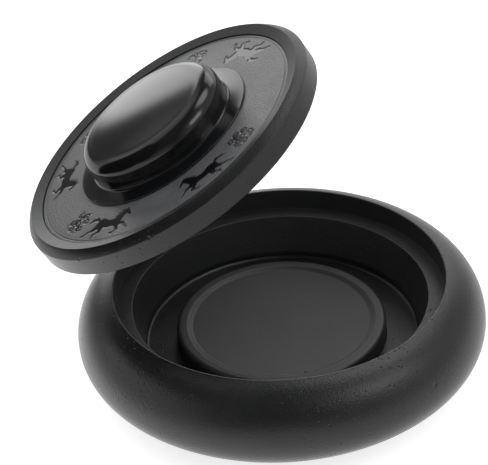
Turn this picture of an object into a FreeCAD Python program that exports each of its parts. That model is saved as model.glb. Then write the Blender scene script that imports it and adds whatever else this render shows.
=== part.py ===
import FreeCAD, Part
import math
import os

# Round lidded ink stone box of turned dark stone, shown opened.
# The bowl stands on z = 0 with its axis on +Z; the lid hangs above it, lifted off and leaning to -X.
# All lengths are in millimetres and all angles in degrees.

# Bowl, outside
bowl_radius = 50.0            # at the widest part of the bulging side
bowl_height = 25.0            # table to rim
widest_height = 13.2          # table to the widest part
foot_radius = 37.0            # flat face that stands on the table
waist_radius = 8.4            # section radius of the side just below the widest part
waist_turn = 45.0             # how far round that section goes before the flatter underside begins
foot_edge_round = 0.6         # eased edge between the underside and the foot

# Bowl, mouth and seat of the lid
seat_radius = 40.3            # upright wall that the lid drops into
seat_depth = 5.4              # rim down to the ledge
rim_break = 0.3               # fine bevel on the inner rim edge
ledge_width = 4.2             # flat ledge that carries the lid
ledge_break = 0.2             # fine bevel on the ledge's inner edge

# Bowl, well and moat
well_floor_height = 8.4       # table to the moat floor
well_floor_radius = 33.6      # inner wall measured at the floor, before its corner is rounded
well_corner_round = 0.8       # rounding between the inner wall and the moat floor
socket_depth = 1.0            # shallow socket in the floor that locates the grinding disc
socket_clearance = 0.1        # gap round the grinding disc in its socket

# Grinding disc
disc_radius = 25.8            # at its side
disc_rise = 4.3               # moat floor to the top of the lip
disc_side_round = 1.0         # outer rounding of the lip
lip_inner_round = 1.0         # rounding between the lip and the dish's slope
lip_width = 2.6               # rounded lip round the dish
dish_depth = 0.6              # lip down to the foot of the dish's slope
dish_hollow = 0.4             # further fall of the hollow floor to its middle
dish_slope = 1.2              # width of the slope from the lip into the dish

# Lid plate
lid_clearance = 0.3           # gap round the lid in its seat
lid_side_height = 5.05        # upright side wall
lid_side_break = 0.3          # fine bevel on the bottom edge of the side wall
shoulder_width = 1.9          # side wall in to the top of the shoulder
shoulder_rise = 1.75          # side wall up to the top of the shoulder
shoulder_bulge = 0.12         # how far the shoulder stands proud of a straight bevel
bevel_width = 2.7             # top of the shoulder in to the band's pocket
bevel_drop = 0.85             # top of the shoulder down to the pocket's edge

# Polished band let into the lid plate
band_recess = 0.3             # pocket's edge down to the band's top
band_thickness = 1.2
band_joint = 0.08             # open joint line round the band
band_bore_radius = 20.6       # hidden under the knob's foot
groove_inset = 0.82           # fine groove inside the band's outer edge
groove_width = 0.24
groove_depth = 0.12

# Knob
knob_foot_radius = 23.4       # where the flared foot meets the band
knob_foot_lip = 0.3           # upright edge of the foot
knob_neck_radius = 19.5       # top of the flare
knob_neck_height = 0.7        # band up to the top of the flare
knob_flare_hollow = 0.1       # how far the flare is hollowed below a straight slope
knob_neck_step = 0.3          # small step between the flare and the drum
knob_radius = 19.1            # drum of the knob
knob_height = 8.3             # band up to the edge of the knob's top
knob_shoulder = 3.9           # rounding between the drum and the top, measured across
knob_shoulder_drop = 3.6      # the same rounding, measured down
knob_shoulder_bulge = 1.05    # how far that rounding stands proud of a straight bevel
knob_crown = 0.9              # rise of the top's gentle crown
knob_joint = 0.1              # gap round the knob's boss in the band
spigot_radius = 6.0
spigot_length = 2.5
spigot_clearance = 0.1        # gap round the spigot and below it

# Where the opened lid is
lid_tilt = 29.2               # lean of the lid's axis away from +Z
lid_heading = 183.0           # compass direction of that lean, from +X towards +Y
lid_shift_x = -22.4           # middle of the lid's underside, from the bowl's axis
lid_shift_y = 15.2
lid_gap = 15.35               # lid's underside clear of the rim, measured square to the lid

# Sizes that follow from the ones above
rim_radius = seat_radius + rim_break
ledge_height = bowl_height - seat_depth
ledge_inner_radius = seat_radius - ledge_width
socket_radius = disc_radius + socket_clearance
socket_floor_height = well_floor_height - socket_depth
lid_radius = seat_radius - lid_clearance
shoulder_radius = lid_radius - shoulder_width
shoulder_height = lid_side_height + shoulder_rise
pocket_radius = shoulder_radius - bevel_width
pocket_edge_height = shoulder_height - bevel_drop
band_top_height = pocket_edge_height - band_recess
pocket_floor_height = band_top_height - band_thickness
band_radius = pocket_radius - band_joint


def point(radius, height):
    """A point of a turned section: radius from the axis, and height."""
    return FreeCAD.Vector(radius, 0, height)


def line(start, end):
    return Part.LineSegment(start, end).toShape()


def round_arc(centre, radius, start_angle, end_angle):
    """An arc of the section about a centre, between two angles above the outward direction."""
    ends = []
    for angle in (start_angle, (start_angle + end_angle) / 2, end_angle):
        turn = math.radians(angle)
        ends.append(centre + point(radius * math.cos(turn), radius * math.sin(turn)))
    return Part.Arc(*ends).toShape()


def bowed_arc(start, end, bulge):
    """An arc from start to end whose middle stands off the straight line by bulge, to its left."""
    along = end - start
    left = FreeCAD.Vector(-along.z, 0, along.x).normalize()
    middle = (start + end) * 0.5 + left * bulge
    return Part.Arc(start, middle, end).toShape()


def rounded_corner(before, corner, after, radius):
    """The arc of that radius that rounds a corner, with the points where it leaves both straights."""
    to_before = (before - corner).normalize()
    to_after = (after - corner).normalize()
    half = to_before.getAngle(to_after) / 2
    leave = corner + to_before * (radius / math.tan(half))
    join = corner + to_after * (radius / math.tan(half))
    centre = corner + (to_before + to_after).normalize() * (radius / math.sin(half))
    middle = centre + (corner - centre).normalize() * radius
    return leave, Part.Arc(leave, middle, join).toShape(), join


def turned(edges):
    """A solid of revolution about +Z from the closed outline of its section."""
    face = Part.Face(Part.Wire(edges))
    return face.revolve(FreeCAD.Vector(0, 0, 0), FreeCAD.Vector(0, 0, 1), 360)


def ring_groove(radius, width, depth, top):
    """A turned ring of waste, square in section, that cuts a groove into a flat top."""
    outer = Part.makeCylinder(radius + width / 2, 2 * depth, FreeCAD.Vector(0, 0, top - depth))
    inner = Part.makeCylinder(radius - width / 2, 2 * depth, FreeCAD.Vector(0, 0, top - depth))
    return outer.cut(inner)


def bowl_side():
    """The bulging side, from the foot up to the rim: a flat underside arc, a waist arc and an upper arc."""
    waist_centre = point(bowl_radius - waist_radius, widest_height)
    turn = math.radians(waist_turn)
    waist_end = waist_centre + point(waist_radius * math.cos(turn), -waist_radius * math.sin(turn))
    waist = round_arc(waist_centre, waist_radius, -waist_turn, 0)
    # The underside arc leaves the waist arc along its tangent and runs to the foot's edge. An arc that
    # bends away from its chord by some angle stands off it by half the chord times the half angle's tangent.
    tangent = point(-math.sin(turn), -math.cos(turn))
    foot_edge = point(foot_radius, foot_edge_round)
    chord = foot_edge - waist_end
    bend = math.atan2(tangent.x * chord.z - tangent.z * chord.x, tangent.dot(chord))
    underside = bowed_arc(foot_edge, waist_end, chord.Length / 2 * math.tan(bend / 2))
    # The upper arc starts upright at the widest part and passes through the rim.
    inset = bowl_radius - rim_radius
    rise = bowl_height - widest_height
    upper_radius = (inset ** 2 + rise ** 2) / (2 * inset)
    upper_centre = point(bowl_radius - upper_radius, widest_height)
    rim_angle = math.degrees(math.atan2(rise, upper_radius - inset))
    upper = round_arc(upper_centre, upper_radius, 0, rim_angle)
    return [underside, waist, upper]


def stone_body():
    """The bowl: bulging outside, stepped mouth, deep well with a socket in its floor."""
    rim = point(rim_radius, bowl_height)
    seat_top = point(seat_radius, bowl_height - rim_break)
    seat_foot = point(seat_radius, ledge_height)
    ledge_edge = point(ledge_inner_radius + ledge_break, ledge_height)
    wall_top = point(ledge_inner_radius, ledge_height - ledge_break)
    wall_foot = point(well_floor_radius, well_floor_height)
    socket_edge = point(socket_radius, well_floor_height)
    socket_foot = point(socket_radius, socket_floor_height)
    floor_start, floor_corner, floor_end = rounded_corner(
        wall_top, wall_foot, socket_edge, well_corner_round
    )
    middle = point(0, socket_floor_height)
    base = point(0, 0)
    foot = point(foot_radius - foot_edge_round, 0)
    foot_edge = point(foot_radius, foot_edge_round)
    outline = [line(base, foot), line(foot, foot_edge)]
    outline += bowl_side()
    outline += [line(rim, seat_top), line(seat_top, seat_foot), line(seat_foot, ledge_edge)]
    outline += [line(ledge_edge, wall_top), line(wall_top, floor_start), floor_corner]
    outline += [line(floor_end, socket_edge), line(socket_edge, socket_foot)]
    outline += [line(socket_foot, middle), line(middle, base)]
    return turned(outline)


def grinding_disc():
    """The raised disc in the well: rounded lip, short slope and a shallow hollow dish."""
    lip_height = well_floor_height + disc_rise
    dish_radius = disc_radius - lip_width
    floor_radius = dish_radius - dish_slope
    floor_height = lip_height - dish_depth
    base = point(0, socket_floor_height)
    side_foot = point(disc_radius, socket_floor_height)
    corner = point(disc_radius, lip_height)
    dish_edge = point(dish_radius, lip_height)
    dish_foot = point(floor_radius, floor_height)
    # The floor is a shallow hollow, level on the axis.
    hollow_radius = (floor_radius ** 2 + dish_hollow ** 2) / (2 * dish_hollow)
    hollow_centre = point(0, floor_height - dish_hollow + hollow_radius)
    hollow_angle = -math.degrees(math.atan2(hollow_radius - dish_hollow, floor_radius))
    hollow = round_arc(hollow_centre, hollow_radius, hollow_angle, -90)
    middle = point(0, floor_height - dish_hollow)
    side_end, side_corner, lip_start = rounded_corner(side_foot, corner, dish_edge, disc_side_round)
    lip_end, lip_corner, slope_start = rounded_corner(lip_start, dish_edge, dish_foot, lip_inner_round)
    outline = [line(base, side_foot), line(side_foot, side_end), side_corner, line(lip_start, lip_end)]
    outline += [lip_corner, line(slope_start, dish_foot), hollow, line(middle, base)]
    return turned(outline)


def lid_plate():
    """The lid's disc: side wall, faintly bulging shoulder, inner bevel, band's pocket and spigot's hole."""
    base = point(0, 0)
    side_foot = point(lid_radius - lid_side_break, 0)
    side_start = point(lid_radius, lid_side_break)
    side_top = point(lid_radius, lid_side_height)
    shoulder_top = point(shoulder_radius, shoulder_height)
    pocket_edge = point(pocket_radius, pocket_edge_height)
    pocket_foot = point(pocket_radius, pocket_floor_height)
    hole_radius = spigot_radius + spigot_clearance
    hole_floor_height = pocket_floor_height - spigot_length - spigot_clearance
    hole_edge = point(hole_radius, pocket_floor_height)
    hole_foot = point(hole_radius, hole_floor_height)
    middle = point(0, hole_floor_height)
    outline = [line(base, side_foot), line(side_foot, side_start), line(side_start, side_top)]
    outline += [bowed_arc(side_top, shoulder_top, -shoulder_bulge), line(shoulder_top, pocket_edge)]
    outline += [line(pocket_edge, pocket_foot), line(pocket_foot, hole_edge), line(hole_edge, hole_foot)]
    outline += [line(hole_foot, middle), line(middle, base)]
    return turned(outline)


def lid_band():
    """The polished ring that lies in the plate's pocket, with its fine groove."""
    inner = point(band_bore_radius, pocket_floor_height)
    outer = point(band_radius, pocket_floor_height)
    outer_top = point(band_radius, band_top_height)
    inner_top = point(band_bore_radius, band_top_height)
    outline = [line(inner, outer), line(outer, outer_top)]
    outline += [line(outer_top, inner_top), line(inner_top, inner)]
    ring = turned(outline)
    return ring.cut(ring_groove(band_radius - groove_inset, groove_width, groove_depth, band_top_height))


def lid_knob():
    """The knob: spigot, boss inside the band, flared foot on the band, drum and gently crowned top."""
    boss_radius = band_bore_radius - knob_joint
    neck_height = band_top_height + knob_neck_height
    drum_foot_height = neck_height + knob_neck_step
    top_height = band_top_height + knob_height
    spigot_end = point(0, pocket_floor_height - spigot_length)
    spigot_foot = point(spigot_radius, pocket_floor_height - spigot_length)
    spigot_root = point(spigot_radius, pocket_floor_height)
    boss_foot = point(boss_radius, pocket_floor_height)
    boss_top = point(boss_radius, band_top_height)
    foot_edge = point(knob_foot_radius, band_top_height)
    foot_top = point(knob_foot_radius, band_top_height + knob_foot_lip)
    neck = point(knob_neck_radius, neck_height)
    drum_foot = point(knob_radius, drum_foot_height)
    drum_top = point(knob_radius, top_height - knob_shoulder_drop)
    top_edge = point(knob_radius - knob_shoulder, top_height)
    # The crown is a shallow dome, tangent to level on the axis.
    top_radius = knob_radius - knob_shoulder
    crown_radius = (top_radius ** 2 + knob_crown ** 2) / (2 * knob_crown)
    crown_centre = point(0, top_height + knob_crown - crown_radius)
    crown_angle = math.degrees(math.atan2(crown_radius - knob_crown, top_radius))
    crown = point(0, top_height + knob_crown)
    outline = [line(spigot_end, spigot_foot), line(spigot_foot, spigot_root), line(spigot_root, boss_foot)]
    outline += [line(boss_foot, boss_top), line(boss_top, foot_edge), line(foot_edge, foot_top)]
    outline += [bowed_arc(foot_top, neck, knob_flare_hollow), line(neck, drum_foot)]
    outline += [line(drum_foot, drum_top)]
    outline += [bowed_arc(drum_top, top_edge, -knob_shoulder_bulge)]
    outline += [round_arc(crown_centre, crown_radius, crown_angle, 90), line(crown, spigot_end)]
    return turned(outline)


def opened_place():
    """Where the lid is: tilted about its underside's middle, then raised to clear the rim by the gap."""
    tilt = math.radians(lid_tilt)
    heading = math.radians(lid_heading)
    axis = FreeCAD.Vector(
        math.sin(tilt) * math.cos(heading), math.sin(tilt) * math.sin(heading), math.cos(tilt)
    )
    # The rim's highest point, measured along the lid's axis, lies where the lid leans to.
    rim_reach = rim_radius * math.sin(tilt) + bowl_height * math.cos(tilt)
    height = (rim_reach + lid_gap - axis.x * lid_shift_x - axis.y * lid_shift_y) / axis.z
    turn = FreeCAD.Rotation(FreeCAD.Vector(-math.sin(heading), math.cos(heading), 0), lid_tilt)
    return FreeCAD.Placement(FreeCAD.Vector(lid_shift_x, lid_shift_y, height), turn)


def save(node, shape):
    """Write one piece, and stop if it is not one sound solid."""
    if not shape.isValid() or len(shape.Solids) != 1:
        raise RuntimeError(node + " is not one sound solid")
    shape.Solids[0].exportStep("parts/" + node + ".step")
    box = shape.optimalBoundingBox(False, False)
    print(node, "volume", round(shape.Volume, 1), "x", round(box.XMin, 2), round(box.XMax, 2),
          "y", round(box.YMin, 2), round(box.YMax, 2), "z", round(box.ZMin, 2), round(box.ZMax, 2))


os.makedirs("parts", exist_ok=True)
save("stone_body", stone_body())
save("grinding_disc", grinding_disc())
lid_place = opened_place()
for node, make in (("lid_plate", lid_plate), ("lid_band", lid_band), ("lid_knob", lid_knob)):
    piece = make()
    piece.transformShape(lid_place.toMatrix())
    save(node, piece)
print("middle of the lid's underside", lid_place.Base)
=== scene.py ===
import math

import bpy
import numpy as np
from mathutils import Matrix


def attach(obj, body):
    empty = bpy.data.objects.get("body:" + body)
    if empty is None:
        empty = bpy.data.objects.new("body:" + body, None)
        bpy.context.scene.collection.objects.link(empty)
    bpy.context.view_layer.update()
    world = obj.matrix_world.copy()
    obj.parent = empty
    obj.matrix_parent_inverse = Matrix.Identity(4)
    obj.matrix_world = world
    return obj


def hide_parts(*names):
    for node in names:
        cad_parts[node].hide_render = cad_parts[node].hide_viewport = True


# Looks of the round lidded ink stone box: turned stone pieces, an etched band, floor, light and camera.
# Sizes of the object and the camera's distance are in millimetres. Sizes and places of the stone's
# texture, the floor, the card and the lamps are in metres, except where a comment says otherwise.
# Angles are in degrees.
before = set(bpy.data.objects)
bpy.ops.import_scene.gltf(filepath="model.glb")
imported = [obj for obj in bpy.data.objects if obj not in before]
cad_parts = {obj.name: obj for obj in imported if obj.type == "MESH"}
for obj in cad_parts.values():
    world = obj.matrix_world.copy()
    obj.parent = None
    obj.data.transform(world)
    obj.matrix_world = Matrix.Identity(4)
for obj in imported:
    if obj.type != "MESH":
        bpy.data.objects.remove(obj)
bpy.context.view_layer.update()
MM = 0.001
FULL_TURN = 2 * math.pi

# Bowl
BOWL_RADIUS = 50.0
BOWL_HEIGHT = 25.0
WIDEST_HEIGHT = 13.2
FOOT_RADIUS = 37.0
FOOT_EDGE_ROUND = 0.6
WAIST_RADIUS = 8.4
WAIST_TURN = 45.0
SEAT_RADIUS = 40.3
RIM_BREAK = 0.3
RIM_LAND_DROP = 0.06          # the narrow land on the rim falls this much inwards
RIM_EASE = 0.08               # tiny rounding of the rim and of most other crisp edges
LEDGE_HEIGHT = 19.6
LEDGE_INNER_RADIUS = 36.1
LEDGE_EASE = 0.22
WELL_FLOOR_HEIGHT = 8.4
WELL_FLOOR_RADIUS = 33.6
WELL_CORNER_ROUND = 0.8
SOCKET_RADIUS = 25.9
SOCKET_FLOOR_HEIGHT = 7.4

# Grinding disc
DISC_RADIUS = 25.8
DISC_TOP = 12.7
DISC_SIDE_ROUND = 1.0
LIP_WIDTH = 2.6
LIP_INNER_ROUND = 1.0
DISH_DEPTH = 0.6
DISH_HOLLOW = 0.4
DISH_SLOPE = 1.2
DISH_EASE = 1.2

# Lid, measured up from the middle of its underside
LID_RADIUS = 40.0
LID_SIDE_BREAK = 0.3
LID_SIDE_HEIGHT = 5.05
SHOULDER_RADIUS = 38.1
SHOULDER_HEIGHT = 6.8
SHOULDER_BULGE = 0.12
SHOULDER_EASE = 0.25
POCKET_RADIUS = 35.4
POCKET_EDGE_HEIGHT = 5.95
BAND_HEIGHT = 5.65
POCKET_FLOOR_HEIGHT = 4.45
BAND_RADIUS = 35.32
BAND_EDGE_EASE = 0.1
BAND_BORE_RADIUS = 20.6
GROOVE_RADIUS = 34.5
GROOVE_WIDTH = 0.24
GROOVE_DEPTH = 0.12
SPIGOT_RADIUS = 6.0
SPIGOT_LENGTH = 2.5
SPIGOT_CLEARANCE = 0.1

# Knob
KNOB_FOOT_RADIUS = 23.4
KNOB_FOOT_LIP = 0.3
KNOB_NECK_RADIUS = 19.5
KNOB_NECK_HEIGHT = 0.7
KNOB_FLARE_HOLLOW = 0.1
KNOB_NECK_STEP = 0.3
KNOB_RADIUS = 19.1
KNOB_HEIGHT = 8.3
KNOB_SHOULDER = 3.9
KNOB_SHOULDER_DROP = 3.6
KNOB_SHOULDER_BULGE = 1.05
KNOB_CROWN = 0.9
KNOB_JOINT = 0.1

# Where the opened lid is
LID_TILT = 29.2
LID_HEADING = 183.0
LID_MIDDLE = (-22.4, 15.2, 53.218)

# Chips and dents: (turn, radius, height, size, depth)
BOWL_MARKS = (
    (-48.2, 49.27, 17.3, 0.7, 0.16), (-50.6, 49.5, 16.6, 0.35, 0.08), (-134.0, 46.6, 21.6, 0.4, 0.1),
)
DISC_MARKS = ((-78.7, 22.1, 12.2, 0.55, 0.3), (-73.0, 22.4, 12.3, 0.3, 0.12))
LID_MARKS = (
    (-126.2, 39.95, 5.1, 0.5, 0.22), (-96.2, 39.9, 5.15, 0.6, 0.28), (-94.6, 39.95, 5.1, 0.35, 0.16),
    (-101.5, 40.0, 2.15, 0.4, 0.08), (-99.8, 40.0, 1.7, 0.3, 0.07), (-93.3, 40.0, 3.0, 0.45, 0.1),
    (-92.0, 40.0, 3.5, 0.3, 0.07), (-91.0, 40.0, 2.2, 0.3, 0.07), (-61.0, 40.0, 4.2, 0.3, 0.08),
)

# Where the bowl's pits crowd: x, y, z and reach, in metres
PITTED_PLACES = ((-0.0335, -0.0315, 0.022, 0.014), (0.025, -0.037, 0.022, 0.011))

# Stone in general
BLOTCH_SIZE = 0.009
BLOTCH_SHARE = 0.55           # of the tone, and the speckle has the rest
SPECKLE_SIZE = 0.0004
TONE_RANGE = (0.35, 0.65)     # of the tone, from the dark shade to the light one
LINE_SPACING = 0.35           # between turning lines, in millimetres along the outline
PIT_CELL = 0.0011             # one pit at most in each cell
PIT_PATCH_SIZE = 0.02
PIT_PATCH_RANGE = (0.45, 0.7)  # of its noise, from no pits to the stone's own share of them
CROWDED_SHARE = 0.8           # of cells with a pit, in a pitted place
# painted shade inside the pits
PIT_PAINTED_SHADE = (0.001, 0.001, 0.001, 1)
PIT_SHADE = 0.8               # share of that painted shade in a pit's middle
PIT_MATT = 0.4                # added to the roughness there
PIT_RELIEF = 1.6
ROUGHNESS_SPREAD = 0.12
RELIEF_DISTANCE = 0.0001

# Walls inside the mouth, which get painted light, and the black floors of the figures
WALL_PAINTED_LIGHT = (0.009, 0.0092, 0.0095, 1)  # painted light, added to the stone's colour on those walls
WALL_MATT = 0.12              # added to its roughness
WALL_START = (1, 2)           # heights above the well's floor where they begin and are whole, in millimetres
WALL_END = (0.2, 0.05)        # and distances outside the seat's radius where they end and are whole
FIGURE_BLACK = (0.003, 0.003, 0.0034, 1)
FIGURE_ROUGHNESS = 0.1

# Camera and picture
IMAGE_SIZE = (488, 465)
SENSOR_WIDTH = 36.0
CAMERA_ELEVATION = 32.561
CAMERA_ROLL = -4.382
CAMERA_DISTANCE = 400.0       # along the view, to the middle of the bowl's foot
PIXELS_PER_MM = 3.9852        # there
FOOT_PIXEL = (283.716, 359.108)

# Surround and floor. Azimuths run from +Y towards +X, elevations from level.
ROOM_LEVEL = 0.12             # brightness of the dim room
ROOM_PATCHES = (              # azimuth, elevation, whole within, gone beyond, added brightness
    (-13.5, 10, 13, 16.5, 2.4),  # backdrop behind the lid
    (22, 14, 8, 26, 0.85),
    (-95, 8, 15, 50, 0.7),
    (95, 22, 20, 65, 0.5),
    (180, -5, 10, 35, 0.35),
    (40, 62, 8, 18, 2.7),
    (-55, 45, 12, 34, 0.8),
)
WHITE = (1, 1, 1, 1)
FLOOR_HALF = 3.0
FLOOR_DROP = -0.00005         # a hair under the foot, so that the two planes don't fight
FLOOR_COLOUR = 0.6
FLOOR_GLOW = 0.74             # makes it white to the camera
GLOSS_MIDDLE = (-0.025, 0.01, 0)  # middle of a painted pool of light that only a gloss shows on the floor, in metres
GLOSS_FADE = (0.06, 0.11)     # and where it fades
GLOSS_FAR = 0.32              # to this brightness
CARD_COLOUR = (0.01, 0.01, 0.01, 1)
CARD_ROUGHNESS = 0.9
CARD_PLACE = -0.069           # X of the dark card beside the lid, in metres
CARD_CORNERS = (              # and its corners' Y and Z
    (0.012, 0.038), (-0.008, 0.044), (-0.022, 0.046), (-0.037, 0.052), (-0.046, 0.06), (-0.1, 0.085),
    (-0.1, 0.17), (0.012, 0.11),
)

# Lamps: name, azimuth, elevation, distance, width, height, brightness, and whether a gloss shows it
SOFTBOXES = (
    ("back_softbox", 18, 33, 1.2, 0.6, 0.42, 1.3, True),
    ("front_right_softbox", 117, 48, 1.2, 0.5, 0.4, 2.8, True),
    ("overhead_fill", 0, 89.9, 1.5, 2.0, 2.0, 1.3, False),
    ("front_fill", 180, 40, 1.3, 1.2, 0.9, 1.0, False),
)
STEEP = 89                    # elevation past which a lamp's sides keep to the axes

# Fineness of the meshes
STEP = 1.2                    # longest straight piece of an outline, but for the band's
FINE_STEP = 0.5
MARK_STEP = 0.17              # near a chip
ARC_POINTS = 7                # points on a small rounding
EDGE_SUPPORT = 0.12           # distance of the extra point beside a clear bend
SUPPORT_ROOM = 0.48           # shortest straight that has one
CLEAR_BEND = 8.0              # smallest bend that has one
DISH_STEP = 2.0               # between the points of the dish's arc
TURNS = 400                   # divisions of a full turn, but for the band's


def unit(vector):
    """The vector with a length of one."""
    return vector / np.linalg.norm(vector)


def wrapped(angle):
    """The same angle within half a turn of zero."""
    return (angle + math.pi) % FULL_TURN - math.pi


def arc(centre, radius, first, last, step):
    """Points centre + radius (cos a, sin a), for angles a evenly from first to last degrees."""
    count = max(2, math.ceil(math.radians(abs(last - first)) * radius / step) + 1)
    angle = np.radians(np.linspace(first, last, count))
    return np.array(centre) + radius * np.stack([np.cos(angle), np.sin(angle)], 1)


def bowed(start, end, bulge, step):
    """Points of the arc from start to end whose middle stands off the chord by bulge, to its left.

    With half chord h, the radius is (h^2 + bulge^2) / (2 bulge) and the centre lies on the chord's
    perpendicular through its middle, at radius - bulge on the other side."""
    start, end = np.array(start, float), np.array(end, float)
    half = np.linalg.norm(end - start) / 2
    left = unit(np.array([start[1] - end[1], end[0] - start[0]]))
    radius = (half ** 2 + bulge ** 2) / (2 * bulge)
    centre = (start + end) / 2 + left * (bulge - radius)
    sweep = 2 * math.atan2(half, radius - bulge) if bulge > 0 else 2 * math.atan2(-half, bulge - radius)
    first = math.atan2(*(start - centre)[::-1])
    count = max(3, math.ceil(2 * half / step) + 1)
    angle = first - np.linspace(0, sweep, count)
    return centre + abs(radius) * np.stack([np.cos(angle), np.sin(angle)], 1)


def sharp(points):
    """The points as corners with no rounding."""
    return [(radius, height, 0) for radius, height in points]


def section(corners, step):
    """Points of a turned outline through the corners (radius, height, rounding).

    A corner with a rounding becomes an arc of that radius which touches both of its sides. The
    straights between are divided evenly to the step, with a point close to each end that bends
    clearly, so that the smooth shading of the bend stops beside it."""
    spots = np.array([corner[:2] for corner in corners], float)
    run = np.diff(spots, axis=0)
    bend = np.diff(np.unwrap(np.arctan2(run[:, 1], run[:, 0])))
    clear = np.r_[False, np.abs(bend) > math.radians(CLEAR_BEND), False]
    runs = []
    for index, (_, _, rounding) in enumerate(corners):
        corner = spots[index]
        if rounding == 0:
            runs.append(corner[None])
            continue
        back = unit(spots[index - 1] - corner)
        ahead = unit(spots[index + 1] - corner)
        half = math.acos(back @ ahead) / 2
        centre = corner + unit(back + ahead) * rounding / math.sin(half)
        first = math.atan2(*(corner + back * rounding / math.tan(half) - centre)[::-1])
        last = math.atan2(*(corner + ahead * rounding / math.tan(half) - centre)[::-1])
        turn = wrapped(last - first)
        angle = first + turn * np.linspace(0, 1, ARC_POINTS)
        runs.append(centre + rounding * np.stack([np.cos(angle), np.sin(angle)], 1))
    outline = [runs[0]]
    for index, (before, after) in enumerate(zip(runs, runs[1:])):
        start, end = before[-1], after[0]
        length = np.linalg.norm(end - start)
        share = np.linspace(0, 1, math.ceil(length / step) + 1)
        if length > SUPPORT_ROOM:
            beside = np.array([EDGE_SUPPORT / length, 1 - EDGE_SUPPORT / length])
            share = np.unique(np.r_[share, beside[clear[index:index + 2]]])
        outline += [start + (end - start) * share[1:-1, None], after]
    return np.vstack(outline)


def lid_place():
    """The lid's axes and middle: +Z turned about the level line across the heading by the tilt."""
    tilt, heading = math.radians(LID_TILT), math.radians(LID_HEADING)
    across = np.array([-math.sin(heading), math.cos(heading), 0])
    rotated = [
        vector * math.cos(tilt) + np.cross(across, vector) * math.sin(tilt)
        + across * (across @ vector) * (1 - math.cos(tilt))
        for vector in np.eye(3)
    ]
    return np.array(rotated), np.array(LID_MIDDLE)


LEVEL_PLACE = (np.eye(3), np.zeros(3))
LID_PLACE = lid_place()


def piece_from(name, points, faces, uv):
    """A smooth mesh object in metres, with one UV pair for each corner of each face."""
    mesh = bpy.data.meshes.new(name)
    mesh.from_pydata((points * MM).tolist(), [], faces)
    layer = mesh.uv_layers.new(name="turned")
    layer.data.foreach_set("uv", uv.ravel())
    mesh.shade_smooth()
    mesh.validate()
    piece = bpy.data.objects.new(name, mesh)
    bpy.context.scene.collection.objects.link(piece)
    return piece


def turned(name, outline, place=LEVEL_PLACE, turns=None, relief=None, ring=False):
    """A turned surface: the outline's point (radius, height) at turn t lies at
    (radius cos t, radius sin t, height).

    relief gives how far each point is pushed along the outline's outward normal. An outline that
    starts and ends on the axis closes in two poles; a ring's outline closes on itself. The UV map is
    the share of the turn, and the length along the outline in millimetres."""
    axes, middle = place
    if turns is None:
        turns = np.linspace(0, FULL_TURN, TURNS, endpoint=False)
    radius, height = outline.T
    along = np.r_[0, np.cumsum(np.linalg.norm(np.diff(outline, axis=0), axis=1))]
    shift = np.zeros((len(outline), len(turns)))
    if relief is not None:
        shift = relief(along[:, None], radius[:, None], height[:, None], turns[None])
    direction = np.gradient(outline, axis=0)
    direction /= np.linalg.norm(direction, axis=1)[:, None]
    out_radius = radius[:, None] + shift * direction[:, 1][:, None]
    out_height = height[:, None] - shift * direction[:, 0][:, None]
    local = np.stack([out_radius * np.cos(turns), out_radius * np.sin(turns), out_height], 2)
    first, last = (0, len(outline)) if ring else (1, len(outline) - 1)
    rows, columns = last - first, len(turns)
    points = local[first:last].reshape(-1, 3)
    index = np.arange(rows * columns).reshape(rows, columns)
    if ring:
        index = np.vstack([index, index[:1]])
        along = np.r_[along, along[-1] + np.linalg.norm(outline[0] - outline[-1])]
    beside = np.roll(index, -1, 1)
    quads = np.stack([index[:-1], beside[:-1], beside[1:], index[1:]], 2).reshape(-1, 4)
    share = np.r_[turns / FULL_TURN, 1]
    low_u = np.tile(share[:-1], len(index) - 1)
    high_u = np.tile(share[1:], len(index) - 1)
    low_v = np.repeat(along[first:first + len(index) - 1], columns)
    high_v = np.repeat(along[first + 1:first + len(index)], columns)
    uv = np.stack([low_u, low_v, high_u, low_v, high_u, high_v, low_u, high_v], 1)
    faces = quads.tolist()
    corner_uv = [uv.reshape(-1, 2)]
    if not ring:
        poles = local[[0, -1], 0]
        points = np.vstack([points, poles])
        start, end = len(points) - 2, len(points) - 1
        below = np.stack([np.full(columns, start), beside[0], index[0]], 1)
        above = np.stack([np.full(columns, end), index[-1], beside[-1]], 1)
        faces += below.tolist() + above.tolist()
        middle_u = (share[:-1] + share[1:]) / 2
        near, far = np.full(columns, along[1]), np.full(columns, along[-2])
        zero, whole = np.zeros(columns), np.full(columns, along[-1])
        corner_uv.append(np.stack([middle_u, zero, share[1:], near, share[:-1], near], 1).reshape(-1, 2))
        corner_uv.append(np.stack([middle_u, whole, share[:-1], far, share[1:], far], 1).reshape(-1, 2))
    return piece_from(name, points @ axes + middle, faces, np.vstack(corner_uv))


def turns_near(marks):
    """Even turns, with the gaps that come near a mark divided to the mark step."""
    even = np.linspace(0, FULL_TURN, TURNS, endpoint=False)
    near = np.zeros(TURNS, bool)
    for azimuth, radius, _, size, _ in marks:
        away = wrapped(even + even[1] / 2 - math.radians(azimuth))
        near |= np.abs(away) * radius < size + even[1] * radius
    count = math.ceil(even[1] * BOWL_RADIUS / MARK_STEP)
    extra = even[near][:, None] + even[1] * np.arange(1, count) / count
    return np.sort(np.r_[even, extra.ravel()])


def outline_near(outline, marks):
    """The outline with its pieces divided to the mark step where they come near a mark."""
    starts, ends = outline[:-1], outline[1:]
    length = np.linalg.norm(ends - starts, axis=1)
    near = np.zeros(len(starts), bool)
    for _, radius, height, size, _ in marks:
        away = np.linalg.norm((starts + ends) / 2 - (radius, height), axis=1)
        near |= away < size + length / 2
    parts = np.where(near, np.ceil(length / MARK_STEP), 1).astype(int)
    places = [index + np.arange(count) / count for index, count in enumerate(parts)]
    place = np.concatenate(places + [[len(parts)]])
    known = np.arange(len(outline))
    return np.stack([np.interp(place, known, outline[:, 0]), np.interp(place, known, outline[:, 1])], 1)


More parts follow.
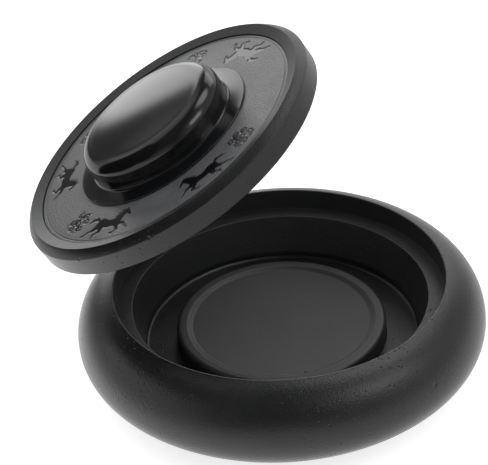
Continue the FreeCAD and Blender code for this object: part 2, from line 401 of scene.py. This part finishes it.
def marked(marks):
    """Relief of chips, a function for turned().

    At distance d from a mark's middle its depth is depth (1 - d / size) ^ 2 (1 + 2 d / size)."""
    def relief(_, radius, height, turns):
        """Minus the depths of all marks, added up at each point."""
        total = np.zeros(np.broadcast(radius, turns).shape)
        for azimuth, middle_radius, middle_height, size, depth in marks:
            away = wrapped(turns - math.radians(azimuth))
            across = np.hypot(radius - middle_radius, height - middle_height)
            share = np.clip(np.hypot(radius * away, across) / size, 0, 1)
            total -= depth * (1 - share) ** 2 * (1 + 2 * share)
        return total
    return relief


def bowl_side():
    """The bulging side: an underside arc that touches the waist arc, the waist arc, and an upper arc
    that is upright at the waist and ends on the rim."""
    waist_centre = np.array([BOWL_RADIUS - WAIST_RADIUS, WIDEST_HEIGHT])
    turn = math.radians(WAIST_TURN)
    waist_end = waist_centre + WAIST_RADIUS * np.array([math.cos(turn), -math.sin(turn)])
    tangent = np.array([-math.sin(turn), -math.cos(turn)])
    foot_edge = np.array([FOOT_RADIUS, FOOT_EDGE_ROUND])
    chord = foot_edge - waist_end
    bend = math.atan2(tangent[0] * chord[1] - tangent[1] * chord[0], tangent @ chord)
    underside = bowed(foot_edge, waist_end, np.linalg.norm(chord) / 2 * math.tan(bend / 2), FINE_STEP)
    waist = arc(waist_centre, WAIST_RADIUS, -WAIST_TURN, 0, FINE_STEP)
    rim_radius = SEAT_RADIUS + RIM_BREAK
    inset = BOWL_RADIUS - rim_radius
    rise = BOWL_HEIGHT - WIDEST_HEIGHT
    upper_radius = (inset ** 2 + rise ** 2) / (2 * inset)
    rim_angle = math.degrees(math.atan2(rise, upper_radius - inset))
    upper = arc((BOWL_RADIUS - upper_radius, WIDEST_HEIGHT), upper_radius, 0, rim_angle, FINE_STEP)
    return np.vstack([underside, waist[1:], upper[1:-1]])


def stone_bowl():
    """The bowl's whole skin, from the foot over the rim into the well and the disc's socket."""
    rim_radius = SEAT_RADIUS + RIM_BREAK
    corners = [(0, 0, 0), (FOOT_RADIUS - FOOT_EDGE_ROUND, 0, 0)]
    corners += sharp(bowl_side())
    corners += [(rim_radius, BOWL_HEIGHT, RIM_EASE), (SEAT_RADIUS, BOWL_HEIGHT - RIM_LAND_DROP, RIM_EASE)]
    corners += [(SEAT_RADIUS, LEDGE_HEIGHT, RIM_EASE), (LEDGE_INNER_RADIUS, LEDGE_HEIGHT, LEDGE_EASE)]
    corners += [(WELL_FLOOR_RADIUS, WELL_FLOOR_HEIGHT, WELL_CORNER_ROUND)]
    corners += [(SOCKET_RADIUS, WELL_FLOOR_HEIGHT, RIM_EASE), (SOCKET_RADIUS, SOCKET_FLOOR_HEIGHT, 0)]
    corners += [(0, SOCKET_FLOOR_HEIGHT, 0)]
    outline = outline_near(section(corners, STEP), BOWL_MARKS)
    return turned("stone_bowl", outline, LEVEL_PLACE, turns_near(BOWL_MARKS), marked(BOWL_MARKS))


def rubbing_disc():
    """The grinding disc: rounded lip, short slope, and a hollow floor of one arc, level on the axis."""
    dish_radius = DISC_RADIUS - LIP_WIDTH
    floor_radius = dish_radius - DISH_SLOPE
    floor_height = DISC_TOP - DISH_DEPTH
    corners = [(0, SOCKET_FLOOR_HEIGHT, 0), (DISC_RADIUS, SOCKET_FLOOR_HEIGHT, 0)]
    corners += [(DISC_RADIUS, DISC_TOP, DISC_SIDE_ROUND), (dish_radius, DISC_TOP, LIP_INNER_ROUND)]
    hollow_radius = (floor_radius ** 2 + DISH_HOLLOW ** 2) / (2 * DISH_HOLLOW)
    hollow_centre = (0, floor_height - DISH_HOLLOW + hollow_radius)
    hollow_angle = -math.degrees(math.atan2(hollow_radius - DISH_HOLLOW, floor_radius))
    corners += [(floor_radius, floor_height, DISH_EASE)]
    corners += sharp(arc(hollow_centre, hollow_radius, hollow_angle, -90, DISH_STEP)[1:-1])
    corners += [(0, floor_height - DISH_HOLLOW, 0)]
    outline = outline_near(section(corners, STEP), DISC_MARKS)
    return turned("rubbing_disc", outline, LEVEL_PLACE, turns_near(DISC_MARKS), marked(DISC_MARKS))


def lid_disc():
    """The lid's plate: side wall, faintly bulging shoulder, inner bevel, and the pocket under the band."""
    shoulder = bowed(
        (LID_RADIUS, LID_SIDE_HEIGHT), (SHOULDER_RADIUS, SHOULDER_HEIGHT), -SHOULDER_BULGE, FINE_STEP
    )
    hole_radius = SPIGOT_RADIUS + SPIGOT_CLEARANCE
    hole_floor = POCKET_FLOOR_HEIGHT - SPIGOT_LENGTH - SPIGOT_CLEARANCE
    corners = [(0, 0, 0), (LID_RADIUS - LID_SIDE_BREAK, 0, 0), (LID_RADIUS, LID_SIDE_BREAK, RIM_EASE)]
    corners += [(LID_RADIUS, LID_SIDE_HEIGHT, SHOULDER_EASE)] + sharp(shoulder[1:-1])
    corners += [(SHOULDER_RADIUS, SHOULDER_HEIGHT, RIM_EASE), (POCKET_RADIUS, POCKET_EDGE_HEIGHT, RIM_EASE)]
    corners += [(POCKET_RADIUS, POCKET_FLOOR_HEIGHT, 0), (hole_radius, POCKET_FLOOR_HEIGHT, 0)]
    corners += [(hole_radius, hole_floor, 0), (0, hole_floor, 0)]
    outline = outline_near(section(corners, STEP), LID_MARKS)
    return turned("lid_disc", outline, LID_PLACE, turns_near(LID_MARKS), marked(LID_MARKS))


def turned_knob():
    """The knob: spigot, boss, flared foot, drum, rounded shoulder and crowned top."""
    boss_radius = BAND_BORE_RADIUS - KNOB_JOINT
    neck = (KNOB_NECK_RADIUS, BAND_HEIGHT + KNOB_NECK_HEIGHT)
    top = BAND_HEIGHT + KNOB_HEIGHT
    flare = bowed((KNOB_FOOT_RADIUS, BAND_HEIGHT + KNOB_FOOT_LIP), neck, KNOB_FLARE_HOLLOW, FINE_STEP / 2)
    drum_top = (KNOB_RADIUS, top - KNOB_SHOULDER_DROP)
    top_radius = KNOB_RADIUS - KNOB_SHOULDER
    shoulder = bowed(drum_top, (top_radius, top), -KNOB_SHOULDER_BULGE, FINE_STEP / 2)
    crown_radius = (top_radius ** 2 + KNOB_CROWN ** 2) / (2 * KNOB_CROWN)
    crown_angle = math.degrees(math.atan2(crown_radius - KNOB_CROWN, top_radius))
    crown = arc((0, top + KNOB_CROWN - crown_radius), crown_radius, crown_angle, 90, STEP)
    spigot_end = POCKET_FLOOR_HEIGHT - SPIGOT_LENGTH
    corners = [(0, spigot_end, 0), (SPIGOT_RADIUS, spigot_end, 0)]
    corners += [(SPIGOT_RADIUS, POCKET_FLOOR_HEIGHT, 0), (boss_radius, POCKET_FLOOR_HEIGHT, 0)]
    corners += [(boss_radius, BAND_HEIGHT, 0), (KNOB_FOOT_RADIUS, BAND_HEIGHT, 0)]
    corners += sharp(flare) + [(KNOB_RADIUS, neck[1] + KNOB_NECK_STEP, 0)]
    corners += sharp(shoulder) + sharp(crown[1:-1]) + [(0, top + KNOB_CROWN, 0)]
    return turned("turned_knob", section(corners, STEP), LID_PLACE)


# Etched figures, drawn with tapered strokes (x, y, half width) to (x, y, half width), in millimetres,
# with x along the band and y up towards the knob
BAND_MIDDLE_RADIUS = 29.3
BAND_TURNS = 1080             # divisions of the band's full turn
BAND_STEP = 0.165             # between the rows of points across its top
BAND_UNDER_KNOB = 0.3         # how far its fine top runs under the knob's foot
ETCH_DEPTH = 0.1
ETCH_WALL = 0.16              # width of the slope down into a figure
FIGURE_REACH = 9.0            # further than any figure's edge is from its middle
HORSE_BLEND = 0.35            # how softly the strokes join
CLOUD_BLEND = 0.08
CURL_WIDTH = 0.68
CURL_POINTS = 13
CURL_TIGHTENING = 0.78
CURL_THINNING = 0.35
HORSES = ((-121.0, 1), (-69.0, -1), (34.0, 1), (105.0, -1), (168.0, 1))
CLOUDS = (-143.5, -45.0, 70.0, 137.0)

HORSE = (
    # barrel, neck and head
    ((-2.7, 0.2, 1.5), (0.0, -0.25, 1.15)), ((0.0, -0.25, 1.15), (2.3, 0.15, 1.45)),
    ((2.6, 0.9, 1.25), (3.9, 2.5, 0.8)), ((3.9, 2.5, 0.8), (4.55, 3.4, 0.58)),
    ((4.6, 3.4, 0.55), (5.5, 2.45, 0.4)), ((5.5, 2.45, 0.4), (6.0, 1.85, 0.3)),
    # ear and mane
    ((4.5, 3.7, 0.24), (4.5, 4.5, 0.06)), ((3.9, 3.5, 0.35), (2.5, 3.7, 0.1)),
    ((3.4, 2.9, 0.4), (1.7, 2.8, 0.1)), ((2.8, 2.2, 0.4), (1.1, 1.9, 0.1)),
    # forelegs
    ((3.0, -0.6, 0.8), (4.8, -1.0, 0.42)), ((4.8, -1.0, 0.34), (5.9, -2.3, 0.2)),
    ((5.9, -2.3, 0.22), (6.4, -2.8, 0.2)), ((2.5, -0.9, 0.75), (3.6, -2.7, 0.38)),
    ((3.6, -2.7, 0.3), (2.4, -3.6, 0.2)), ((2.4, -3.6, 0.24), (1.9, -3.4, 0.16)),
    # hind legs
    ((-3.0, -0.3, 1.3), (-4.1, -1.9, 0.6)), ((-4.1, -1.9, 0.5), (-5.4, -2.8, 0.28)),
    ((-5.4, -2.8, 0.25), (-6.2, -3.9, 0.18)), ((-6.2, -3.9, 0.2), (-6.6, -4.2, 0.18)),
    ((-2.2, -0.9, 1.0), (-1.9, -2.5, 0.5)), ((-1.9, -2.5, 0.42), (-3.1, -3.5, 0.26)),
    ((-3.1, -3.5, 0.24), (-3.0, -4.6, 0.2)),
    # tail
    ((-3.8, 0.9, 0.35), (-5.0, 1.5, 0.5)), ((-5.0, 1.5, 0.5), (-6.3, 1.0, 0.42)),
    ((-6.3, 1.0, 0.42), (-7.2, -0.1, 0.06)),
)


def curl(centre, size, first, turns):
    """Strokes of a curl: its point at share t lies at radius size (1 - tightening t) and angle
    first + 360 turns t, and its width falls in the same way by the thinning."""
    share = np.linspace(0, 1, CURL_POINTS)
    angle = np.radians(first + 360 * turns * share)
    reach = size * (1 - CURL_TIGHTENING * share)
    x = centre[0] + reach * np.cos(angle)
    y = centre[1] + reach * np.sin(angle)
    spots = list(zip(x, y, CURL_WIDTH / 2 * (1 - CURL_THINNING * share)))
    return tuple(zip(spots, spots[1:]))


CLOUD = (
    curl((-1.7, 1.5), 1.2, -60, 1.3) + curl((0.75, 1.9), 1.05, 240, -1.25)
    + curl((2.3, 0.45), 0.95, 200, -1.2) + curl((-2.2, -0.9), 1.0, 60, -1.25)
    + curl((0.0, -0.55), 1.1, 120, 1.3) + curl((1.75, -1.75), 1.0, 150, 1.25)
    + curl((-1.0, -2.6), 0.85, 100, -1.1)
    + (((-3.1, 2.5, 0.06), (-2.0, 2.85, 0.17)), ((1.3, 3.0, 0.17), (2.6, 2.9, 0.05)))
    + (((-3.2, -1.8, 0.05), (-2.2, -2.9, 0.16)), ((0.3, -3.2, 0.16), (2.5, -3.0, 0.05)))
)


def reach_of(x, y, strokes, blend):
    """Signed distance to the joined strokes: to each, the distance to its line less the half width there.

    Distances a and b join smoothly as b (1 - h) + a h - blend h (1 - h), where h is
    0.5 + (b - a) / (2 blend), kept between 0 and 1."""
    total = np.full(x.shape, FIGURE_REACH)
    for (x0, y0, half0), (x1, y1, half1) in strokes:
        run_x, run_y = x1 - x0, y1 - y0
        share = np.clip(((x - x0) * run_x + (y - y0) * run_y) / (run_x ** 2 + run_y ** 2), 0, 1)
        apart = np.hypot(x - x0 - share * run_x, y - y0 - share * run_y) - half0 - share * (half1 - half0)
        mix = np.clip(0.5 + (total - apart) / (2 * blend), 0, 1)
        total = total * (1 - mix) + apart * mix - blend * mix * (1 - mix)
    return total


def etching(radius, turns):
    """How deep the etching is at each point, from 0 on the frosted top to 1 on the figures' floor."""
    apart = np.full(np.broadcast(radius, turns).shape, FIGURE_REACH)
    figures = [(azimuth, facing, HORSE, HORSE_BLEND) for azimuth, facing in HORSES]
    figures += [(azimuth, 1, CLOUD, CLOUD_BLEND) for azimuth in CLOUDS]
    for azimuth, facing, strokes, blend in figures:
        away = wrapped(turns - math.radians(azimuth))
        x = np.broadcast_to(facing * away * BAND_MIDDLE_RADIUS, apart.shape)
        y = np.broadcast_to(BAND_MIDDLE_RADIUS - radius, apart.shape)
        near = np.abs(x) < FIGURE_REACH
        apart[near] = np.minimum(apart[near], reach_of(x[near], y[near], strokes, blend))
    return np.clip(0.5 - apart / ETCH_WALL, 0, 1)


def etched_ring():
    """The frosted ring: its top carries the fine groove and the etched figures as real relief."""
    turns = np.linspace(0, FULL_TURN, BAND_TURNS, endpoint=False)
    groove_outer = GROOVE_RADIUS + GROOVE_WIDTH / 2
    groove_inner = GROOVE_RADIUS - GROOVE_WIDTH / 2
    foot = KNOB_FOOT_RADIUS - BAND_UNDER_KNOB
    outer = section([
        (BAND_BORE_RADIUS, POCKET_FLOOR_HEIGHT, 0), (BAND_RADIUS, POCKET_FLOOR_HEIGHT, 0),
        (BAND_RADIUS, BAND_HEIGHT, BAND_EDGE_EASE), (groove_outer, BAND_HEIGHT, 0),
        (GROOVE_RADIUS, BAND_HEIGHT - GROOVE_DEPTH, 0), (groove_inner, BAND_HEIGHT, 0),
    ], BAND_RADIUS)
    top = np.arange(groove_inner - BAND_STEP, foot, -BAND_STEP)
    top = np.stack([top, np.full(len(top), BAND_HEIGHT)], 1)
    inner = np.array([(foot, BAND_HEIGHT), (BAND_BORE_RADIUS, BAND_HEIGHT)])
    outline = np.vstack([outer, top, inner])
    order = np.arange(len(outline))
    on_top = (order >= len(outer)) & (order < len(outer) + len(top))
    depth = etching(outline[:, 0][:, None], turns[None]) * on_top[:, None]
    ring = turned("etched_ring", outline, LID_PLACE, turns, lambda *_: -ETCH_DEPTH * depth, ring=True)
    attribute = ring.data.attributes.new("etched", "FLOAT", "POINT")
    attribute.data.foreach_set("value", depth.ravel())
    return ring


def node(tree, kind, inputs=None, **settings):
    """A shader node with its settings, and its inputs set to values or linked to sockets."""
    made = tree.nodes.new("ShaderNode" + kind)
    for key, value in settings.items():
        setattr(made, key, value)
    for key, value in (inputs or {}).items():
        if isinstance(value, bpy.types.NodeSocket):
            tree.links.new(value, made.inputs[key])
        else:
            made.inputs[key].default_value = value
    return made


def maths(tree, operation, *values):
    """The result of one sum on the values."""
    made = node(tree, "Math", dict(enumerate(values)), operation=operation)
    return made.outputs[0]


def noise(tree, vector, size, detail=2.0, roughness=0.5):
    """Noise from 0 to 1 whose blotches are about size metres across."""
    made = node(tree, "TexNoise", {
        "Vector": vector, "Scale": 1 / size, "Detail": detail, "Roughness": roughness,
    })
    return made.outputs["Fac"]


def spread(tree, value, low, high, to_low=0.0, to_high=1.0):
    """value taken from the range low to high to the other range, smoothly and within its ends."""
    made = node(tree, "MapRange", {
        "Value": value, "From Min": low, "From Max": high, "To Min": to_low, "To Max": to_high,
    }, interpolation_type="SMOOTHSTEP")
    return made.outputs["Result"]


def pits(tree, vector, cell, size, share):
    """Pits, 1 at their middle: in a share of cells, within size (in cells) of the cell's own point."""
    made = node(tree, "TexVoronoi", {"Vector": vector, "Scale": 1 / cell})
    chance = node(tree, "SeparateColor", {"Color": made.outputs["Color"]}).outputs["Red"]
    chosen = maths(tree, "LESS_THAN", chance, share)
    return maths(tree, "MULTIPLY", spread(tree, made.outputs["Distance"], 0, size, 1, 0), chosen)


def turning_lines(tree, spacing):
    """Fine lines round a turned piece: noise along the outline only, from the UV map's length."""
    uv = node(tree, "UVMap", uv_map="turned").outputs["UV"]
    along = node(tree, "SeparateXYZ", {"Vector": uv}).outputs["Y"]
    made = node(tree, "TexNoise", {"W": along, "Scale": 1 / spacing, "Detail": 3.0}, noise_dimensions="1D")
    return made.outputs["Fac"]


def stone(name, dark, light, roughness, grain, lines, pit_share, pit_size=0.16, pitted=()):
    """Turned stone: blotches between two dark shades, fine grain, turning lines and open pits darkened with
    painted shade.

    Pits crowd within the reach of each pitted place (x, y, z, reach), all in metres."""
    material = bpy.data.materials.new(name)
    material.use_nodes = True
    tree = material.node_tree
    shader = tree.nodes["Principled BSDF"]
    place = node(tree, "TexCoord").outputs["Object"]
    blotches = noise(tree, place, BLOTCH_SIZE, detail=8.0, roughness=0.6)
    speckle = noise(tree, place, SPECKLE_SIZE, detail=3.0)
    line = turning_lines(tree, LINE_SPACING)
    blotch_tone = maths(tree, "MULTIPLY", blotches, BLOTCH_SHARE)
    tone = maths(tree, "ADD", blotch_tone, maths(tree, "MULTIPLY", speckle, 1 - BLOTCH_SHARE))
    ramp = node(tree, "ValToRGB", {"Fac": spread(tree, tone, *TONE_RANGE)})
    ramp.color_ramp.elements[0].color = (*dark, 1)
    ramp.color_ramp.elements[1].color = (*light, 1)
    patches = noise(tree, place, PIT_PATCH_SIZE, detail=1.0)
    where = spread(tree, patches, *PIT_PATCH_RANGE, 0.0, pit_share)
    for *spot, reach in pitted:
        away = node(tree, "VectorMath", {0: place, 1: spot}, operation="DISTANCE").outputs["Value"]
        where = maths(tree, "MAXIMUM", where, spread(tree, away, reach / 2, reach, CROWDED_SHARE, 0.0))
    pit = pits(tree, place, PIT_CELL, pit_size, where)
    # painted shade: the pits' colour darkened towards black
    shade = maths(tree, "MULTIPLY", pit, PIT_SHADE)
    colour = node(tree, "Mix", {0: shade, 6: ramp.outputs["Color"], 7: PIT_PAINTED_SHADE}, data_type="RGBA")
    tree.links.new(colour.outputs[2], shader.inputs["Base Color"])
    uneven = maths(tree, "MULTIPLY", speckle, ROUGHNESS_SPREAD)
    shine = maths(tree, "ADD", roughness - ROUGHNESS_SPREAD / 2, uneven)
    shine = maths(tree, "ADD", shine, maths(tree, "MULTIPLY", pit, PIT_MATT))
    tree.links.new(shine, shader.inputs["Roughness"])
    height = maths(tree, "MULTIPLY", speckle, grain)
    height = maths(tree, "ADD", height, maths(tree, "MULTIPLY", line, lines))
    height = maths(tree, "SUBTRACT", height, maths(tree, "MULTIPLY", pit, PIT_RELIEF))
    bump = node(tree, "Bump", {"Height": height, "Distance": RELIEF_DISTANCE, "Strength": 1.0})
    tree.links.new(bump.outputs["Normal"], shader.inputs["Normal"])
    return material


def honed_stone():
    """The bowl: smoothly honed, and more matt on the walls inside the mouth, which are lightened with
    painted light.
    """
    material = stone(
        "honed_stone", (0.0045, 0.0047, 0.0051), (0.0085, 0.0088, 0.0093),
        roughness=0.3, grain=0.8, lines=0.05, pit_share=0.5, pit_size=0.26, pitted=PITTED_PLACES,
    )
    tree = material.node_tree
    shader = tree.nodes["Principled BSDF"]
    place = node(tree, "TexCoord").outputs["Object"]
    level = node(tree, "VectorMath", {0: place, 1: (1, 1, 0)}, operation="MULTIPLY").outputs["Vector"]
    radius = node(tree, "VectorMath", {0: level}, operation="LENGTH").outputs["Value"]
    height = node(tree, "SeparateXYZ", {"Vector": place}).outputs["Z"]
    raised = spread(tree, height, *((WELL_FLOOR_HEIGHT + above) * MM for above in WALL_START))
    inside = spread(tree, radius, *((SEAT_RADIUS + beyond) * MM for beyond in WALL_END))
    wall = maths(tree, "MULTIPLY", raised, inside)
    plain = shader.inputs["Base Color"].links[0].from_socket
    # painted light: a grey added to the colour of the walls inside the mouth
    painted_light_walls = node(tree, "Mix", {0: wall, 6: plain, 7: WALL_PAINTED_LIGHT}, data_type="RGBA", blend_type="ADD")
    tree.links.new(painted_light_walls.outputs[2], shader.inputs["Base Color"])
    shine = shader.inputs["Roughness"].links[0].from_socket
    matt = maths(tree, "ADD", shine, maths(tree, "MULTIPLY", wall, WALL_MATT))
    tree.links.new(matt, shader.inputs["Roughness"])
    return material


def grinding_stone():
    """The grinding disc: lighter than the bowl, finer and matt."""
    return stone(
        "grinding_stone", (0.014, 0.0144, 0.0152), (0.02, 0.0204, 0.0215),
        roughness=0.42, grain=0.3, lines=0.04, pit_share=0.05,
    )


def lid_stone():
    """The lid's plate: satin, with scattered pits."""
    return stone(
        "lid_stone", (0.0035, 0.0037, 0.0041), (0.008, 0.0082, 0.0087),
        roughness=0.34, grain=1.0, lines=0.08, pit_share=0.4, pit_size=0.22,
    )


def polished_stone():
    """The knob: glossy and almost black."""
    return stone(
        "polished_stone", (0.003, 0.0032, 0.0036), (0.0045, 0.0047, 0.0052),
        roughness=0.14, grain=0.01, lines=0.01, pit_share=0.02,
    )


def etched_stone():
    """The band: frosted and lathe-turned, and black and glossy on the floors of the figures."""
    material = stone(
        "etched_stone", (0.042, 0.043, 0.0455), (0.068, 0.069, 0.072),
        roughness=0.3, grain=1.1, lines=0.3, pit_share=0.05,
    )
    tree = material.node_tree
    shader = tree.nodes["Principled BSDF"]
    etched = node(tree, "Attribute", attribute_name="etched").outputs["Fac"]
    plain = shader.inputs["Base Color"].links[0].from_socket
    colour = node(tree, "Mix", {0: etched, 6: plain, 7: FIGURE_BLACK}, data_type="RGBA")
    tree.links.new(colour.outputs[2], shader.inputs["Base Color"])
    shine = shader.inputs["Roughness"].links[0].from_socket
    rough = node(tree, "Mix", {0: etched, 2: shine, 3: FIGURE_ROUGHNESS}, data_type="FLOAT")
    tree.links.new(rough.outputs[0], shader.inputs["Roughness"])
    bump = shader.inputs["Normal"].links[0].from_node
    grain = bump.inputs["Height"].links[0].from_socket
    frosted = maths(tree, "SUBTRACT", 1.0, etched)
    tree.links.new(maths(tree, "MULTIPLY", grain, frosted), bump.inputs["Height"])
    return material


def place_piece(piece, material, body, replaced):
    """Give a piece its material and body, and hide the solid whose place it takes."""
    piece.data.materials.append(material)
    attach(piece, body)
    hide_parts(replaced)


def pieces():
    """The five turned pieces of the box."""
    place_piece(stone_bowl(), honed_stone(), "bowl", "stone_body")
    place_piece(rubbing_disc(), grinding_stone(), "bowl", "grinding_disc")
    place_piece(lid_disc(), lid_stone(), "lid", "lid_plate")
    place_piece(etched_ring(), etched_stone(), "lid", "lid_band")
    place_piece(turned_knob(), polished_stone(), "lid", "lid_knob")


def direction_to(azimuth, elevation):
    """The direction at a compass angle from +Y towards +X, and at a height above level."""
    turn, rise = math.radians(azimuth), math.radians(elevation)
    return np.array([math.sin(turn) * math.cos(rise), math.cos(turn) * math.cos(rise), math.sin(rise)])


def softbox(name, azimuth, elevation, distance, width, height, brightness, glossy):
    """A rectangular lamp that faces the bowl: its power is brightness times pi times its area."""
    lamp = bpy.data.lights.new(name, "AREA")
    lamp.shape = "RECTANGLE"
    lamp.size, lamp.size_y = width, height
    lamp.energy = brightness * math.pi * width * height
    holder = bpy.data.objects.new(name, lamp)
    bpy.context.scene.collection.objects.link(holder)
    towards = direction_to(azimuth, elevation)
    across = unit(np.cross((0, 0, 1), towards)) if elevation < STEEP else np.array([1.0, 0, 0])
    matrix = np.eye(4)
    matrix[:3, 0], matrix[:3, 1], matrix[:3, 2] = across, np.cross(towards, across), towards
    matrix[:3, 3] = towards * distance
    holder.matrix_world = matrix.T.tolist()
    holder.visible_glossy = glossy


def surround():
    """A dim room with soft patches of light, each fading between two angles. The camera sees it white."""
    world = bpy.data.worlds.new("surround")
    bpy.context.scene.world = world
    world.use_nodes = True
    tree = world.node_tree
    tree.nodes.clear()
    way = node(tree, "TexCoord").outputs["Generated"]
    level = ROOM_LEVEL
    for azimuth, elevation, full, gone, brightness in ROOM_PATCHES:
        middle = direction_to(azimuth, elevation).tolist()
        towards = node(tree, "VectorMath", {0: way, 1: middle}, operation="DOT_PRODUCT").outputs["Value"]
        edges = math.cos(math.radians(gone)), math.cos(math.radians(full))
        level = maths(tree, "ADD", level, spread(tree, towards, *edges, 0.0, brightness))
    camera_ray = node(tree, "LightPath").outputs["Is Camera Ray"]
    strength = node(tree, "Mix", {0: camera_ray, 2: level, 3: 1.0}, data_type="FLOAT").outputs[0]
    background = node(tree, "Background", {"Color": WHITE, "Strength": strength})
    output = node(tree, "OutputWorld")
    tree.links.new(background.outputs[0], output.inputs["Surface"])


def pale_floor():
    """A white table top that keeps the shadow. In a gloss it shows a painted pool of light that gets dimmer
    away from the object.
    """
    signs = ((-1, -1), (1, -1), (1, 1), (-1, 1))
    corners = [(x * FLOOR_HALF, y * FLOOR_HALF, FLOOR_DROP) for x, y in signs]
    mesh = bpy.data.meshes.new("floor")
    mesh.from_pydata(corners, [], [(0, 1, 2, 3)])
    floor = bpy.data.objects.new("floor", mesh)
    bpy.context.scene.collection.objects.link(floor)
    material = bpy.data.materials.new("pale_floor")
    material.use_nodes = True
    tree = material.node_tree
    tree.nodes.clear()
    diffuse = node(tree, "BsdfDiffuse", {"Color": (FLOOR_COLOUR,) * 3 + (1,)})
    path = node(tree, "LightPath")
    place = node(tree, "TexCoord").outputs["Object"]
    away = node(tree, "VectorMath", {0: place, 1: GLOSS_MIDDLE}, operation="DISTANCE").outputs["Value"]
    seen = maths(tree, "MAXIMUM", path.outputs["Is Camera Ray"], path.outputs["Is Transmission Ray"])
    # painted pool of light on the floor, seen only in reflections
    fading = spread(tree, away, *GLOSS_FADE, 1.0, GLOSS_FAR)
    glossy = maths(tree, "MULTIPLY", path.outputs["Is Glossy Ray"], fading)
    glow = maths(tree, "ADD", maths(tree, "MULTIPLY", seen, FLOOR_GLOW), glossy)
    emission = node(tree, "Emission", {"Color": WHITE, "Strength": glow})
    both = node(tree, "AddShader", {0: diffuse.outputs[0], 1: emission.outputs[0]})
    output = node(tree, "OutputMaterial")
    tree.links.new(both.outputs[0], output.inputs["Surface"])
    floor.data.materials.append(material)


def dark_card():
    """A black card that only a gloss shows: it darkens the left of the lid's shoulder."""
    mesh = bpy.data.meshes.new("dark_card")
    mesh.from_pydata([(CARD_PLACE, *corner) for corner in CARD_CORNERS], [], [range(len(CARD_CORNERS))])
    card = bpy.data.objects.new("dark_card", mesh)
    bpy.context.scene.collection.objects.link(card)
    material = bpy.data.materials.new("black_card")
    material.use_nodes = True
    shader = material.node_tree.nodes["Principled BSDF"]
    shader.inputs["Base Color"].default_value = CARD_COLOUR
    shader.inputs["Roughness"].default_value = CARD_ROUGHNESS
    mesh.materials.append(material)
    for ray in ("camera", "diffuse", "shadow", "transmission"):
        setattr(card, "visible_" + ray, False)


def studio():
    """The surround, the floor, a dark card and the soft lamps."""
    surround()
    pale_floor()
    dark_card()
    for lamp in SOFTBOXES:
        softbox(*lamp)


def camera():
    """The photograph's view: above level by the elevation, rolled about the view's own line, and
    shifted so that the middle of the bowl's foot falls on its pixel."""
    rise, roll = math.radians(CAMERA_ELEVATION), math.radians(CAMERA_ROLL)
    forward = np.array([0, math.cos(rise), -math.sin(rise)])
    level = np.array([1.0, 0, 0])
    upward = np.array([0, math.sin(rise), math.cos(rise)])
    right = math.cos(roll) * level + math.sin(roll) * upward
    up = -math.sin(roll) * level + math.cos(roll) * upward
    off_right = (FOOT_PIXEL[0] - IMAGE_SIZE[0] / 2) / PIXELS_PER_MM
    off_up = (IMAGE_SIZE[1] / 2 - FOOT_PIXEL[1]) / PIXELS_PER_MM
    place = -off_right * right - off_up * up - CAMERA_DISTANCE * forward
    lens = bpy.data.cameras.new("camera")
    lens.sensor_fit = "HORIZONTAL"
    lens.sensor_width = SENSOR_WIDTH
    lens.lens = PIXELS_PER_MM * CAMERA_DISTANCE * SENSOR_WIDTH / IMAGE_SIZE[0]
    lens.clip_start = 0.01
    holder = bpy.data.objects.new("camera", lens)
    bpy.context.scene.collection.objects.link(holder)
    matrix = np.eye(4)
    matrix[:3, 0], matrix[:3, 1], matrix[:3, 2] = right, up, -forward
    matrix[:3, 3] = place * MM
    holder.matrix_world = matrix.T.tolist()
    bpy.context.scene.camera = holder


camera()
pieces()
studio()
bpy.context.scene.view_settings.view_transform = "Standard"
